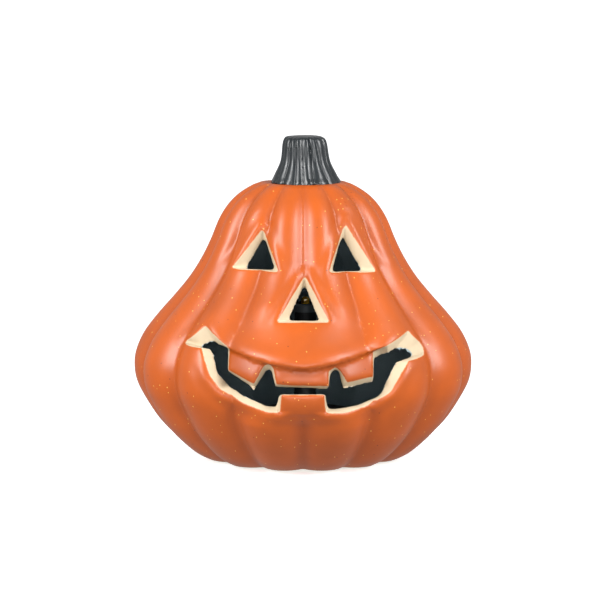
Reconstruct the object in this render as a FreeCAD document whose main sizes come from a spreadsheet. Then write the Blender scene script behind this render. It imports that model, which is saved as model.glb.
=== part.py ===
import FreeCAD, Part
import math
import os
import re
import Sketcher
from FreeCAD import Rotation, Vector

# Hollow ceramic pumpkin with a cut face, a ceramic stem, and a battery light
# that plugs into the hole in its underside. Millimetres, +Z up, the face
# towards -Y, the origin on the ground under the middle of the figure.

SIZES = (
    ("shell_height", 176.0),       # foot to crown
    ("shell_radius", 108.0),       # over the crest of the widest rib
    ("shell_wall", 6.5),
    ("shell_floor", 7.5),
    ("crown_wall", 9.0),
    ("rib_count", 14),
    ("groove_share", 0.05),        # groove depth over the local radius
    ("pad_thickness", 1.0),
    ("pad_share", 0.56),           # pad width over the width of the foot that it sits on
    ("pad_count", 4),
    ("stem_height", 31.5),         # seat to top
    ("stem_radius", 22.4),         # at the flared base
    ("stem_flutes", 13),
    ("stem_lean", 1.4),            # sideways shift of the stem
    ("spigot_radius", 11.5),
    ("seat_depth", 3.0),           # stem seat below the crown
    ("glue_gap", 0.3),
    ("flange_lip", 3.0),           # flange beyond the hole
    ("flange_thickness", 2.4),
    ("plate_lift", 0.8),           # light unit above the foot of the shell
    ("plate_thickness", 4.0),
    ("travel_gap", 0.3),           # air between pieces that move apart
    ("cup_room", 1.25),            # cup beyond the corners of the battery tray
    ("board_headroom", 4.6),       # circuit board to the roof of the cup
    ("cup_wall", 2.0),
    ("ring_depth", 0.9),
    ("cell_radius", 5.25),
    ("cell_length", 44.5),
    ("cell_gap", 0.4),
    ("nub_radius", 1.9),
    ("nub_length", 0.8),
    ("leaf_depth", 3.0),
    ("sheet_metal", 0.4),
    ("tray_wall", 1.3),
    ("door_thickness", 2.6),
    ("door_rim", 1.0),             # door beyond the cell opening
    ("hinge_relief", 0.5),         # door cut back beside its barrel, so that it can swing
    ("door_tab_width", 12.0),
    ("door_tab_length", 7.6),
    ("hinge_half_width", 20.0),
    ("pin_radius", 0.6),
    ("pin_grip", 3.0),             # pin end inside the base plate
    ("screw_radius", 1.1),
    ("screw_head_radius", 2.4),
    ("screw_head_height", 1.3),
    ("insert_radius", 2.3),
    ("post_radius", 3.0),
    ("knob_length", 4.0),
    ("knob_width", 2.4),
    ("knob_travel", 2.0),          # each way from the middle
    ("switch_height", 4.7),
    ("board_thickness", 1.6),
    ("mast_radius", 7.0),
    ("mast_wall", 1.6),
    ("mast_offset", 1.5),
    ("collar_radius", 8.6),
    ("collar_height", 5.4),
    ("lens_radius", 7.4),
    ("lens_height", 13.5),
    ("lens_wall", 1.2),
    ("emitter_radius", 2.6),
    ("emitter_height", 8.6),
    ("lead_radius", 0.55),
)

# The outlines below are drawn for a shell of this radius and height, and
# follow the shell when its size changes.
DRAWN_RADIUS = 108.0
DRAWN_HEIGHT = 176.0

# Height above the foot and radius over the rib crests.
SHELL_PROFILE = (
    (0, 65), (5, 73.5), (13, 82.5), (23, 92), (35, 100), (47, 106.2), (57, 108),
    (67, 107), (79, 101.7), (91, 92.6), (103, 82), (115, 72.2), (127, 64.6), (139, 58.7),
    (151, 53.8), (160, 48.6), (167, 42), (172, 35), (175, 29), (176, 24),
)

# Height and radius of the stem, as shares of its own height and base radius.
STEM_PROFILE = (
    (0, 1.0), (0.07, 0.975), (0.18, 0.92), (0.31, 0.82), (0.43, 0.745), (0.55, 0.69),
    (0.68, 0.665), (0.8, 0.635), (0.9, 0.6), (0.96, 0.53), (1.0, 0.4),
)
STEM_FLUTE_SHARE = 0.07

# Window outlines as (x, height above the foot): where the cut meets the outer
# skin, and where it meets the inner one. The two lists go round together.
LEFT_EYE = (
    ((-25.2, 149.2), (-43.7, 125.6), (-15.0, 124.7)),
    ((-24.0, 143), (-34.1, 125), (-18.0, 125.5)),
)
RIGHT_EYE = (
    ((26.3, 152.4), (15.9, 124.7), (45.1, 123.3)),
    ((23.9, 143), (18.2, 124), (34.7, 124)),
)
NOSE = (
    ((1.2, 122), (-16.2, 96.4), (15.6, 96.5)),
    ((0.8, 115), (-7.7, 97.5), (8.6, 97)),
)
MOUTH = (
    (
        (-13.2, 55.7), (-13.8, 43.7), (-22.1, 43.9), (-36.7, 48.3), (-50.4, 55.9),
        (-57.3, 64.6), (-62.4, 80.3), (-72.8, 80.4), (-60.1, 92.1), (-44.7, 79.9),
        (-45.6, 67.1), (-29.8, 60.4), (-23.6, 71.8), (-17.9, 70.5), (-16.3, 60.9),
        (15.8, 59.9), (15.3, 68.6), (22.6, 68.4), (26.8, 61.6), (43.0, 63.8),
        (42.4, 78.2), (64.9, 88.8), (75.5, 76.7), (65.0, 72.8), (60.5, 66.3),
        (54.1, 55.5), (42.5, 47.2), (26.8, 43.2), (13.8, 43.7), (12.7, 55.8),
    ),
    (
        (-14.8, 54.5), (-17.0, 47.3), (-22.2, 47.7), (-36.8, 53.5), (-47.4, 60.6),
        (-51.7, 66.9), (-55.6, 78.9), (-61.6, 79.2), (-54.6, 82.3), (-46.5, 78.7),
        (-46.4, 65.4), (-29.4, 55.5), (-22.1, 67.3), (-19.5, 67.4), (-16.9, 58.1),
        (14.9, 56.9), (16.9, 66.0), (21.1, 67.8), (23.7, 56.9), (42.7, 58.4),
        (43.7, 72.6), (56.7, 78.3), (61.0, 74.9), (55.5, 71.6), (52.2, 65.9),
        (44.8, 50.7), (32.2, 46.6), (15.4, 45.7), (14.2, 46.5), (13.8, 54.5),
    ),
)

# Height above the foot, in the drawn size, at which the lamp shows in the nose.
DRAWN_LAMP_LEVEL = 92.2

doc = FreeCAD.newDocument("pumpkin")
sheet = doc.addObject("Spreadsheet::Sheet", "sizes")
for row, (word, number) in enumerate(SIZES, 1):
    sheet.set("A%d" % row, word)
    sheet.set("B%d" % row, "%g" % number)
    sheet.setAlias("B%d" % row, word)
doc.recompute()
WORDS = {word for word, number in SIZES}
nodes = []

# Widths that several pieces share, written as expressions of the sheet.
CELLS_HALF_WIDTH = "(3 * cell_radius + 1.5 * cell_gap)"
CELLS_HALF_LENGTH = "(cell_length / 2 + leaf_depth + 2 * sheet_metal)"
CUP_RADIUS = "(sqrt((%s + tray_wall)^2 + (%s + tray_wall)^2) + cup_room + cup_wall)" % (
    CELLS_HALF_LENGTH, CELLS_HALF_WIDTH)
HOLE_RADIUS = "(%s + ring_depth + travel_gap)" % CUP_RADIUS
FLANGE_RADIUS = "(%s + flange_lip)" % HOLE_RADIUS
SWITCH_Y = "(0 - %s - 13.15)" % CELLS_HALF_WIDTH
BOARD_RADIUS = "(0 - %s - 0.9)" % SWITCH_Y
FOOT_LEDGE = "(shell_radius * %g * (1 - groove_share) - %s - travel_gap)" % (
    SHELL_PROFILE[0][1] / DRAWN_RADIUS, FLANGE_RADIUS)
PAD_RADIUS = "(pad_share * %s / 2)" % FOOT_LEDGE
PAD_RING_RADIUS = "(%s + travel_gap + %s / 2)" % (FLANGE_RADIUS, FOOT_LEDGE)

# Heights that several pieces share.
FOOT = "pad_thickness"
FLOOR_TOP = "(pad_thickness + shell_floor)"
PLATE_LOW = "(pad_thickness + plate_lift)"
FLANGE_TOP = "(%s + flange_thickness)" % PLATE_LOW
PLATE_TOP = "(%s + plate_thickness)" % PLATE_LOW
RECESS_TOP = "(%s + travel_gap)" % FLANGE_TOP
DOOR_LOW = "(%s + 0.2)" % PLATE_LOW
DOOR_TOP = "(%s + door_thickness)" % DOOR_LOW
REBATE_TOP = "(%s + 0.1)" % DOOR_TOP
HINGE_Z = "(%s + door_thickness / 2)" % DOOR_LOW
HINGE_Y = "(%s + 2.2 + door_thickness / 2)" % CELLS_HALF_WIDTH
CELL_Z = "(%s + 0.4 + cell_radius)" % DOOR_TOP
TRAY_ROOF = "(%s + cell_radius + 0.4)" % CELL_Z
BOARD_LOW = "(%s + tray_wall + 1.8)" % TRAY_ROOF
BOARD_TOP = "(%s + board_thickness)" % BOARD_LOW
CUP_TOP = "(%s + board_headroom + cup_wall)" % BOARD_TOP
MAST_TOP = "(pad_thickness + shell_height * %g)" % (DRAWN_LAMP_LEVEL / DRAWN_HEIGHT)
SCREW_Y = "(0 - %s - door_rim - 3.9)" % CELLS_HALF_WIDTH

# Places of the three posts that the base plate is screwed to, and of the two
# that carry the circuit board.
BASE_POSTS = (
    ("0", "(%s + 7.65)" % HINGE_Y),
    ("-16.5", "(0 - %s - 8.65)" % CELLS_HALF_WIDTH),
    ("16.5", "(0 - %s - 8.65)" % CELLS_HALF_WIDTH),
)
BOARD_POSTS = (("-17", "0"), ("17", "0"))

SHARED = {
    "cells_half_width": CELLS_HALF_WIDTH,
    "cells_half_length": CELLS_HALF_LENGTH,
    "cup_radius": CUP_RADIUS,
    "hole_radius": HOLE_RADIUS,
    "flange_radius": FLANGE_RADIUS,
    "board_radius": BOARD_RADIUS,
    "pad_ring_radius": PAD_RING_RADIUS,
    "pad_radius": PAD_RADIUS,
    "switch_y": SWITCH_Y,
}


def spell(text):
    """An expression with its shared widths written out."""
    return re.sub(r"[a-z_]+", lambda match: SHARED.get(match.group(), match.group()), str(text))


def bound(text):
    """An expression that a property can be bound to."""
    def named(match):
        word = match.group()
        return "sizes." + word if word in WORDS else word
    return re.sub(r"[a-z][a-z_]*", named, spell(text))


def value(text):
    """The number that an expression gives now."""
    return float(sheet.evalExpression(spell(text)))


def node(thing, label):
    """Name a finished sub-part, whose file takes this label."""
    thing.Label = label
    nodes.append(thing)
    return thing


def place(thing, x, y, z):
    for letter, text in zip("xyz", (x, y, z)):
        thing.setExpression("Placement.Base." + letter, bound(text))


def box(x, y, z, length, width, height):
    """A box from its middle in x and y and its underside."""
    thing = doc.addObject("Part::Box", "box")
    for name, text in (("Length", length), ("Width", width), ("Height", height)):
        thing.setExpression(name, bound(text))
    place(thing, "%s - (%s) / 2" % (x, length), "%s - (%s) / 2" % (y, width), z)
    return thing


def rod(x, y, z, radius, height):
    """An upright cylinder from the middle of its lower end."""
    thing = doc.addObject("Part::Cylinder", "rod")
    thing.setExpression("Radius", bound(radius))
    thing.setExpression("Height", bound(height))
    place(thing, x, y, z)
    return thing


def cross_rod(y, z, radius, half_length):
    """A cylinder along X, centred on x = 0."""
    thing = doc.addObject("Part::Cylinder", "cross_rod")
    thing.setExpression("Radius", bound(radius))
    thing.setExpression("Height", bound("2 * (%s)" % half_length))
    thing.Placement.Rotation = Rotation(Vector(0, 1, 0), 90)
    place(thing, "0 - (%s)" % half_length, y, z)
    return thing


def fuse(*things):
    whole = doc.addObject("Part::MultiFuse", "fuse")
    whole.Shapes = list(things)
    return whole


def cut(base, *tools):
    for tool in tools:
        left = doc.addObject("Part::Cut", "cut")
        left.Base = base
        left.Tool = tool
        base = left
    return base


def group(*things):
    whole = doc.addObject("Part::Compound", "group")
    whole.Links = list(things)
    return whole


def polygon(body, plane, corners):
    """A closed sketch on one of the body's origin planes, each corner bound to the sheet."""
    sketch = body.newObject("Sketcher::SketchObject", "outline")
    support = [face for face in body.Origin.OriginFeatures if face.Role == plane][0]
    sketch.AttachmentSupport = [(support, "")]
    sketch.MapMode = "FlatFace"
    points = [Vector(value(across), value(up), 0) for across, up in corners]
    count = len(points)
    for index in range(count):
        sketch.addGeometry(Part.LineSegment(points[index], points[(index + 1) % count]))
    for index in range(count):
        sketch.addConstraint(Sketcher.Constraint("Coincident", index, 2, (index + 1) % count, 1))
    for index, (across, up) in enumerate(corners):
        for kind, text, axis in (("DistanceX", across, -2), ("DistanceY", up, -1)):
            if str(text) == "0":
                sketch.addConstraint(Sketcher.Constraint("PointOnObject", index, 1, axis))
                continue
            pin = Sketcher.Constraint(kind, -1, 1, index, 1, value(text))
            number = sketch.addConstraint(pin)
            sketch.setExpression("Constraints[%d]" % number, bound(text))
    return sketch


def turned(corners, x="0", y="0"):
    """A body turned about an upright axis from (radius, height) corners."""
    body = doc.addObject("PartDesign::Body", "turned")
    sketch = polygon(body, "XZ_Plane", corners)
    spin = body.newObject("PartDesign::Revolution", "spin")
    spin.Profile = sketch
    spin.ReferenceAxis = (sketch, ["V_Axis"])
    spin.Angle = 360
    place(body, x, y, "0")
    return body


def padded(corners, x, y, z, height):
    """A body padded upwards from an outline drawn about (x, y)."""
    body = doc.addObject("PartDesign::Body", "padded")
    sketch = polygon(body, "XY_Plane", corners)
    pad = body.newObject("PartDesign::Pad", "pad")
    pad.Profile = sketch
    pad.setExpression("Length", bound(height))
    place(body, x, y, z)
    return body


def profile_radius(height):
    """Radius over the rib crests at a height above the foot, both drawn sizes."""
    for (low, low_radius), (high, high_radius) in zip(SHELL_PROFILE, SHELL_PROFILE[1:]):
        if height <= high:
            return low_radius + (high_radius - low_radius) * (height - low) / (high - low)
    return SHELL_PROFILE[-1][1]


def crest(height):
    """Radius over the rib crests at a height above the foot."""
    drawn_height = height / value("shell_height") * DRAWN_HEIGHT
    return profile_radius(drawn_height) * value("shell_radius") / DRAWN_RADIUS


def inset(height):
    """Level thickness of the wall at a height, from the wall and its slope."""
    step = 3.0
    slope = (crest(height + step) - crest(max(height - step, 0))) / (height + step - max(height - step, 0))
    return value("shell_wall") * math.sqrt(1 + min(slope ** 2, 2))


def ribbed_ring(x, height, outer, inner, count):
    """A closed ring of equal arcs that meet in grooves, one groove at the front."""
    half = math.pi / count
    edges = []
    for lobe in range(count):
        start = -math.pi / 2 + 2 * half * lobe
        points = []
        for turn, radius in ((0, inner), (half, outer), (2 * half, inner)):
            angle = start + turn
            points.append(Vector(x + radius * math.cos(angle), radius * math.sin(angle), height))
        edges.append(Part.Arc(*points).toShape())
    return Part.Wire(edges)


def shell_blank():
    """The outside of the shell as one solid, standing on its foot."""
    tall = value("shell_height") / DRAWN_HEIGHT
    rings = []
    for height, radius in SHELL_PROFILE:
        outer = crest(height * tall)
        rings.append(ribbed_ring(0, value(FOOT) + height * tall, outer,
                                 outer * (1 - value("groove_share")), round(value("rib_count"))))
    return Part.makeLoft(rings, True, False)


def shell_hollow():
    """The inside of the shell, ribbed like the outside and one wall smaller."""
    tall = value("shell_height") / DRAWN_HEIGHT
    low = value("shell_floor")
    high = value("shell_height - crown_wall")
    heights = [low]
    heights += [height * tall for height, radius in SHELL_PROFILE if low + 4 < height * tall < high - 4]
    heights += [high]
    rings = []
    for height in heights:
        outer = crest(height)
        groove = outer * (1 - value("groove_share"))
        wall = inset(height)
        rings.append(ribbed_ring(0, value(FOOT) + height, outer - wall, groove - wall,
                                 round(value("rib_count"))))
    return Part.makeLoft(rings, True, False)


def window(outlines):
    """The tool that cuts one window, from in front of the shell to its inside.

    It is straight outside the shell, narrows through the wall from the outer
    outline to the inner one, and is straight again inside.
    """
    wide = value("shell_radius") / DRAWN_RADIUS
    tall = value("shell_height") / DRAWN_HEIGHT
    outer, inner = [[(x * wide, z * tall) for x, z in outline] for outline in outlines]
    front = -value("shell_radius") - 10
    back = front * 0.25

    def on_skin(x, z, wall):
        middle = crest(z) * (1 - value("groove_share") / 2) - wall
        return -math.sqrt(middle ** 2 - x ** 2)

    rings = (
        [Vector(x, front, z) for x, z in outer],
        [Vector(x, on_skin(x, z, 0), z) for x, z in outer],
        [Vector(x, on_skin(x, z, inset(z)), z) for x, z in inner],
        [Vector(x, back, z) for x, z in inner],
    )
    loops = [Part.makePolygon(ring + ring[:1]) for ring in rings]
    tool = Part.makeLoft(loops, True, True)
    tool.translate(Vector(0, 0, value(FOOT)))
    return tool


def pumpkin_shell():
    foot = value(FOOT)
    shape = shell_blank().cut(shell_hollow())
    for outlines in (LEFT_EYE, RIGHT_EYE, NOSE, MOUTH):
        shape = shape.cut(window(outlines))
    recess = value("%s - %s" % (RECESS_TOP, FOOT))
    below = Vector(0, 0, foot - 1)
    shape = shape.cut(Part.makeCylinder(value("flange_radius + travel_gap"), recess + 1, below))
    shape = shape.cut(Part.makeCylinder(value("hole_radius"), value("shell_floor") + 2, below))
    seat = value("pad_thickness + shell_height - seat_depth")
    lean = value("stem_lean")
    shape = shape.cut(Part.makeCylinder(value("stem_radius + glue_gap"), value("seat_depth") + 5,
                                        Vector(lean, 0, seat)))
    shape = shape.cut(Part.makeCylinder(value("spigot_radius + glue_gap"), value("crown_wall") + 2,
                                        Vector(lean, 0, seat - value("crown_wall"))))
    shell = doc.addObject("Part::Feature", "shell")
    shell.Shape = shape
    node(shell, "pumpkin_shell")


def pumpkin_stem():
    """Fluted, flared stem with a plain spigot that is bonded into the crown."""
    seat = value("pad_thickness + shell_height - seat_depth")
    lean = value("stem_lean")
    rings = []
    for share, width in STEM_PROFILE:
        outer = width * value("stem_radius")
        rings.append(ribbed_ring(lean, seat + share * value("stem_height"), outer,
                                 outer * (1 - STEM_FLUTE_SHARE), round(value("stem_flutes"))))
    shape = Part.makeLoft(rings, True, False)
    length = value("crown_wall - seat_depth")
    shape = shape.fuse(Part.makeCylinder(value("spigot_radius"), length + 1, Vector(lean, 0, seat - length)))
    stem = doc.addObject("Part::Feature", "stem")
    stem.Shape = shape
    node(stem, "pumpkin_stem")


def foot_pads():
    pads = []
    for index in range(round(value("pad_count"))):
        angle = "(360 / pad_count * (%d + 0.5))" % index
        pads.append(rod("pad_ring_radius * cos(%s)" % angle, "pad_ring_radius * sin(%s)" % angle,
                        "0", "pad_radius", "pad_thickness"))
    node(group(*pads), "foot_pads")


def base_plate():
    """Flanged plate that closes the light from below and carries the battery tray."""
    rim = "(cup_radius - cup_wall - 0.2)"
    disc = turned((
        ("0", PLATE_LOW), ("flange_radius", PLATE_LOW), ("flange_radius", FLANGE_TOP),
        (rim, FLANGE_TOP), (rim, PLATE_TOP), ("0", PLATE_TOP),
    ))
    tray_top = "(%s + tray_wall)" % TRAY_ROOF
    tray = box("0", "0", FLANGE_TOP, "2 * (cells_half_length + tray_wall)",
               "2 * (cells_half_width + tray_wall)", "%s - %s" % (tray_top, FLANGE_TOP))
    boss = rod("0", SCREW_Y, FLANGE_TOP, "insert_radius + 1", "7.5")
    cells = box("0", "0", PLATE_LOW, "2 * cells_half_length", "2 * cells_half_width",
                "%s - %s" % (TRAY_ROOF, PLATE_LOW))
    depth = "%s - %s" % (REBATE_TOP, PLATE_LOW)
    lid = box("0", "0", PLATE_LOW, "2 * (cells_half_length + door_rim + travel_gap)",
              "2 * (cells_half_width + door_rim + travel_gap)", depth)
    hinge_edge = "%s + door_thickness / 2 + travel_gap" % HINGE_Y
    barrel = box("0", "(%s) / 2" % hinge_edge, PLATE_LOW, "2 * (hinge_half_width + travel_gap)",
                 hinge_edge, depth)
    tab_edge = "cells_half_width + door_rim + door_tab_length + travel_gap"
    tab = box("0", "0 - (%s) / 2" % tab_edge, PLATE_LOW, "door_tab_width + 2 * travel_gap",
              tab_edge, depth)
    insert = rod("0", SCREW_Y, PLATE_LOW, "insert_radius", "20")
    pin = cross_rod(HINGE_Y, HINGE_Z, "pin_radius", "hinge_half_width + pin_grip")
    slot = box("0", "switch_y", PLATE_LOW, "knob_length + 2 * knob_travel + 2 * travel_gap",
               "knob_width + 2 * travel_gap", "plate_thickness")
    tools = [cells, lid, barrel, tab, insert, pin, slot]
    for x, y in BASE_POSTS:
        tools.append(rod(x, y, PLATE_LOW, "screw_radius", "plate_thickness"))
        tools.append(rod(x, y, PLATE_LOW, "screw_head_radius", "screw_head_height"))
    for side in (-1, 1):
        tools.append(box("%d * (cells_half_length - sheet_metal / 2)" % side,
                         "%d * (2 * cell_radius + cell_gap)" % side, TRAY_ROOF,
                         "sheet_metal", "3", "tray_wall"))
    node(cut(fuse(disc, tray, boss), *tools), "base_plate")


def light_cup():
    """Black cup over the batteries and board, with the posts that it is screwed by."""
    inside = "(cup_radius - cup_wall)"
    roof = "(%s - cup_wall)" % CUP_TOP
    cup = turned((
        ("0", roof), (inside, roof), (inside, FLANGE_TOP), ("cup_radius", FLANGE_TOP),
        ("cup_radius", CUP_TOP), ("0", CUP_TOP),
    ))
    posts = []
    tools = [rod("mast_offset", "0", BOARD_TOP, "mast_radius - mast_wall",
                 "board_headroom + 2 * cup_wall")]
    for x, y in BASE_POSTS:
        posts.append(rod(x, y, PLATE_TOP, "post_radius", "%s - %s + 1" % (roof, PLATE_TOP)))
        tools.append(rod(x, y, PLATE_TOP, "screw_radius", "9"))
    for x, y in BOARD_POSTS:
        posts.append(rod(x, y, BOARD_TOP, "post_radius", "%s - %s + 1" % (roof, BOARD_TOP)))
        tools.append(rod(x, y, BOARD_TOP, "screw_radius", "4"))
    node(cut(fuse(cup, *posts), *tools), "light_cup")


def grip_ring():
    """Soft ring that holds the light in the hole of the shell."""
    low = "(%s + 0.4)" % RECESS_TOP
    high = "(%s - 0.6)" % FLOOR_TOP
    outer = "(cup_radius + ring_depth)"
    node(turned((("cup_radius", low), (outer, low), (outer, high), ("cup_radius", high))), "grip_ring")


def screw(x, y, low, length):
    """A pan-headed screw, head down, with a cross recess."""
    head = rod(x, y, low, "screw_head_radius", "screw_head_height")
    shank = rod(x, y, low, "screw_radius", length)
    cross = fuse(box(x, y, low, "2.6", "0.6", "0.7"), box(x, y, low, "0.6", "2.6", "0.7"))
    return cut(fuse(head, shank), cross)


def fasteners():
    node(group(*[screw(x, y, PLATE_LOW, "plate_thickness + 8") for x, y in BASE_POSTS]), "base_screws")
    node(group(*[screw(x, y, "%s - screw_head_height" % BOARD_LOW,
                       "screw_head_height + board_thickness + 3.5") for x, y in BOARD_POSTS]), "board_screws")
    node(screw("0", SCREW_Y, DOOR_LOW, "6"), "door_screw")
    bore = "(screw_radius + 0.5)"
    low = REBATE_TOP
    high = "(%s + 6)" % REBATE_TOP
    node(turned(((bore, low), ("insert_radius", low), ("insert_radius", high), (bore, high)),
                "0", SCREW_Y), "door_screw_insert")


def battery_door():
    width = "2 * (cells_half_width + door_rim) - hinge_relief"
    plate = box("0", "0 - hinge_relief / 2", DOOR_LOW, "2 * (cells_half_length + door_rim)", width,
                "door_thickness")
    leaf = box("0", "(%s) / 2" % HINGE_Y, DOOR_LOW, "2 * hinge_half_width", HINGE_Y, "door_thickness")
    barrel = cross_rod(HINGE_Y, HINGE_Z, "door_thickness / 2", "hinge_half_width")
    tab_edge = "cells_half_width + door_rim + door_tab_length"
    tab = box("0", "0 - (%s) / 2" % tab_edge, DOOR_LOW, "door_tab_width", tab_edge, "door_thickness")
    tools = [
        cross_rod(HINGE_Y, HINGE_Z, "pin_radius + 0.05", "hinge_half_width + 1"),
        rod("0", SCREW_Y, DOOR_LOW, "screw_radius + 0.2", "door_thickness"),
        rod("0", SCREW_Y, DOOR_LOW, "screw_head_radius + 0.2", "screw_head_height"),
    ]
    for index in range(3):
        tools.append(box("0", "%d * 2.4 - 15" % index, DOOR_LOW, "16", "1", "0.4"))
    node(cut(fuse(plate, leaf, barrel, tab), *tools), "battery_door")
    node(cross_rod(HINGE_Y, HINGE_Z, "pin_radius", "hinge_half_width + pin_grip"), "door_hinge_pin")


def battery_cells():
    """Three cells side by side, each turned end for end from the one before."""
    for index in range(3):
        side = (1, -1, 1)[index]
        y = "%d * (2 * cell_radius + cell_gap)" % (index - 1)
        can = doc.addObject("Part::Cylinder", "can")
        can.setExpression("Radius", bound("cell_radius"))
        can.setExpression("Height", bound("cell_length - nub_length"))
        nub = doc.addObject("Part::Cylinder", "nub")
        nub.setExpression("Radius", bound("nub_radius"))
        nub.setExpression("Height", bound("cell_length"))
        for piece in (can, nub):
            piece.Placement.Rotation = Rotation(Vector(0, 1, 0), 90 * side)
            place(piece, "%d * cell_length / 2" % -side, y, CELL_Z)
        node(fuse(can, nub), "battery_cell_%d" % (index + 1))


def contacts():
    """Plates on the tray's end walls, with a bent leaf against each end of each cell."""
    pitch = "(2 * cell_radius + cell_gap)"
    wall_x = "(cells_half_length - sheet_metal / 2)"
    low = "(%s - 4)" % CELL_Z
    for side, label in ((-1, "contact_plate_negative"), (1, "contact_plate_positive")):
        x = "%d * %s" % (side, wall_x)
        y = "%d * %s" % (side, pitch)
        plate = box(x, y, low, "sheet_metal", "8", "8")
        solder_tab = box(x, y, "%s + 3" % CELL_Z, "sheet_metal", "3", "%s - %s - 3" % (BOARD_LOW, CELL_Z))
        node(fuse(plate, solder_tab), label)
    bridges = []
    for side in (-1, 1):
        bridges.append(box("%d * %s" % (side, wall_x), "%d * %s / 2" % (-side, pitch), low,
                           "sheet_metal", "%s + 8" % pitch, "8"))
    node(group(*bridges), "contact_bridges")
    leaves = []
    tip = "(leaf_depth + sheet_metal)"
    for index in (-1, 0, 1):
        for side in (-1, 1):
            corners = (("0", "-3.5"), ("sheet_metal", "-3.5"), (tip, "-0.3"), (tip, "0.3"),
                       ("sheet_metal", "3.5"), ("0", "3.5"), ("%s - sheet_metal" % tip, "0"))
            if side == 1:
                corners = tuple(("0 - (%s)" % across, up) for across, up in corners)
            x = "%d * (cells_half_length - sheet_metal)" % side
            leaves.append(padded(corners, x, "%d * %s" % (index, pitch), "%s - 2" % CELL_Z, "4"))
    node(group(*leaves), "contact_leaves")


def switch():
    length = "(knob_length + 2 * knob_travel + 2 * travel_gap)"
    can = box("0", "switch_y", PLATE_TOP, "%s + 2.4" % length, "knob_width + 2", "switch_height")
    well = box("0", "switch_y", PLATE_TOP, length, "knob_width + 2 * travel_gap", "1.2")
    node(cut(can, well), "switch_body")
    low = "(%s - 0.6)" % PLATE_LOW
    knob = box("0", "switch_y", low, "knob_length", "knob_width", "%s + 0.8 - %s" % (PLATE_TOP, low))
    grooves = [box("%d * 1.1" % index, "switch_y", low, "0.4", "knob_width + 1", "0.4")
               for index in (-1, 0, 1)]
    node(cut(knob, *grooves), "switch_knob")


def board():
    disc = rod("0", "0", BOARD_LOW, "board_radius", "board_thickness")
    tools = [rod(x, y, BOARD_LOW, "post_radius + 0.5", "board_thickness") for x, y in BASE_POSTS]
    tools += [rod(x, y, BOARD_LOW, "screw_radius", "board_thickness") for x, y in BOARD_POSTS]
    node(cut(disc, *tools), "circuit_board")
    node(box("0", "13", BOARD_TOP, "5", "4", "1.5"), "timer_chip")
    resistors = [box(x, "-12", BOARD_TOP, "2", "1.25", "0.6") for x in ("-4", "0", "4")]
    node(group(*resistors), "board_resistors")
    node(rod("-9", "12", BOARD_TOP, "2.5", "3.2"), "board_capacitor")


def leads():
    top = "%s - 0.6" % MAST_TOP
    for shift, label in (("-2", "led_lead_red"), ("2", "led_lead_black")):
        x = "mast_offset + %s" % shift
        node(rod(x, "0", BOARD_TOP, "lead_radius", "%s - %s" % (top, BOARD_TOP)), label)
    low = "(%s + switch_height)" % PLATE_TOP
    pair = [rod(x, "switch_y + 1.5", low, "lead_radius", "%s - %s" % (BOARD_LOW, low))
            for x in ("-2.5", "2.5")]
    node(group(*pair), "switch_leads")


def lamp():
    """Mast on the cup, with the collar, emitter and clear lens at the height of the nose."""
    bore = "(mast_radius - mast_wall)"
    node(turned((
        (bore, CUP_TOP), ("mast_radius + 6", CUP_TOP), ("mast_radius + 6", "%s + 2" % CUP_TOP),
        ("mast_radius + 1", "%s + 5" % CUP_TOP), ("mast_radius", "%s + 14" % CUP_TOP),
        ("mast_radius", MAST_TOP), (bore, MAST_TOP),
    ), "mast_offset"), "lamp_mast")
    collar_top = "(%s + collar_height)" % MAST_TOP
    ledge = "(%s + 1.2)" % MAST_TOP
    node(turned((
        (bore, MAST_TOP), ("collar_radius", MAST_TOP), ("collar_radius", "%s - 1" % collar_top),
        ("collar_radius - 0.7", collar_top), ("lens_radius", collar_top), ("lens_radius", ledge),
        (bore, ledge),
    ), "mast_offset"), "bulb_collar")
    deck = "(%s - 0.6)" % MAST_TOP
    node(rod("mast_offset", "0", deck, bore, "1.2"), "led_board")
    emitter_low = "(%s + 0.6)" % MAST_TOP
    emitter_top = "(%s + emitter_height)" % emitter_low
    node(turned((
        ("0", emitter_low), ("emitter_radius", emitter_low),
        ("emitter_radius", "%s - 1.4" % emitter_top), ("emitter_radius * 0.55", emitter_top),
        ("0", emitter_top),
    ), "mast_offset"), "led_emitter")
    lens = doc.addObject("PartDesign::Body", "lens")
    sketch = lens.newObject("Sketcher::SketchObject", "outline")
    support = [face for face in lens.Origin.OriginFeatures if face.Role == "XZ_Plane"][0]
    sketch.AttachmentSupport = [(support, "")]
    sketch.MapMode = "FlatFace"
    dome_section(sketch, ledge)
    spin = lens.newObject("PartDesign::Revolution", "spin")
    spin.Profile = sketch
    spin.ReferenceAxis = (sketch, ["V_Axis"])
    spin.Angle = 360
    place(lens, "mast_offset", "0", "0")
    node(lens, "bulb_lens")


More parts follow.
